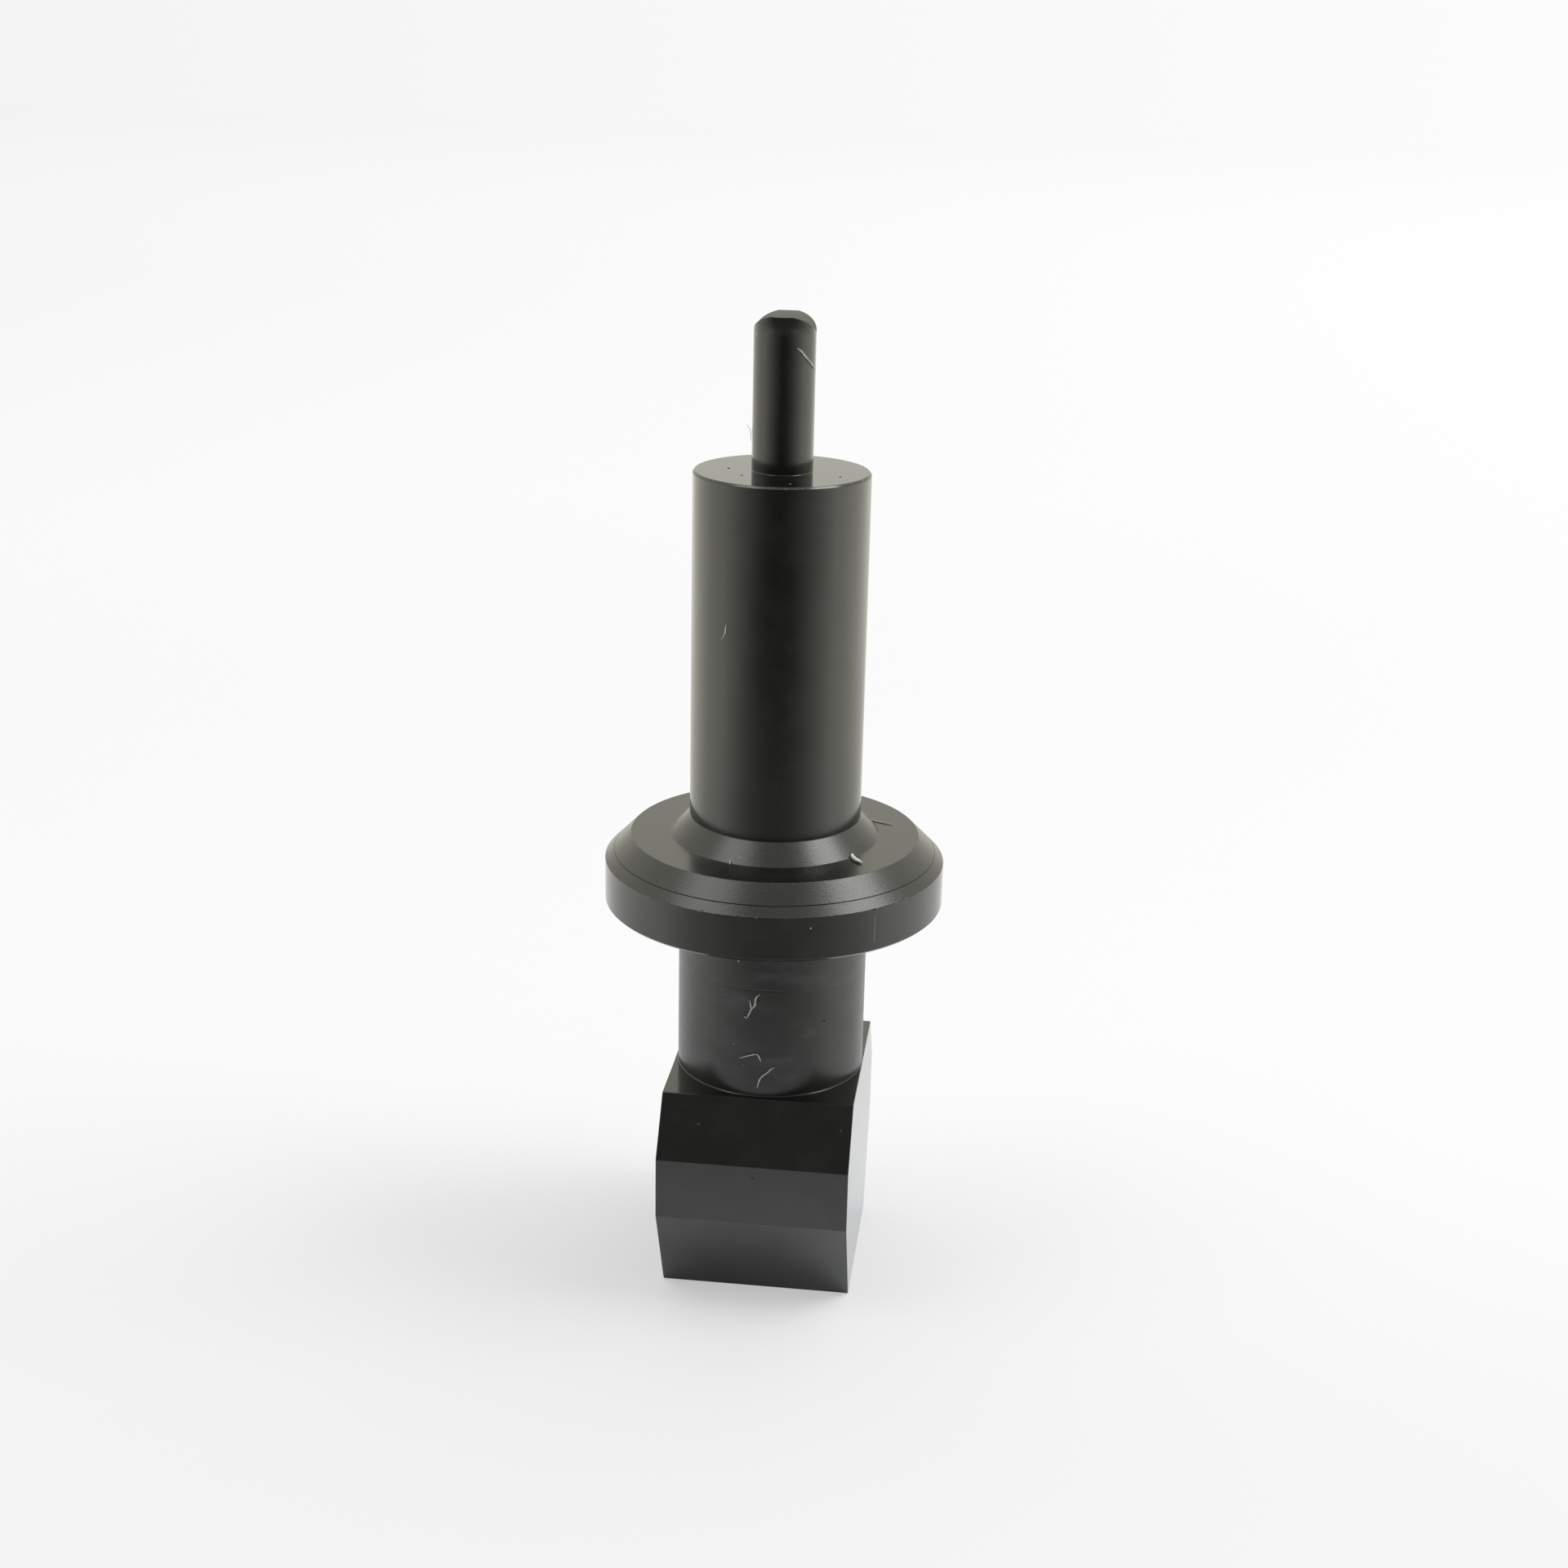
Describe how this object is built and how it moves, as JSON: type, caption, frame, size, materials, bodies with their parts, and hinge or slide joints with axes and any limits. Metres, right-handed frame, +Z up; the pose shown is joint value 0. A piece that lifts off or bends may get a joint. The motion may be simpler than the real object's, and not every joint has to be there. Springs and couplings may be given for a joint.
{
  "type": "vacuum pick-up nozzle",
  "caption": "Slim turned steel suction nozzle with a V-grooved tip, a stepped barrel, a chamfered flange and a faceted, flat-sided head block.",
  "frame": {"origin": "centre of the head block's base, on the bore's axis", "axes": "+Z up the bore towards the tip, X across the block's two side flats and along the tip's groove, Y from front facets to back facets"},
  "size_m": [0.01, 0.01, 0.0287],
  "materials": {
    "black_steel": "blackened, semi-gloss, fine turning and grinding marks"
  },
  "bodies": {
    "root": {"nozzle": "black_steel"}
  },
  "joints": []
}
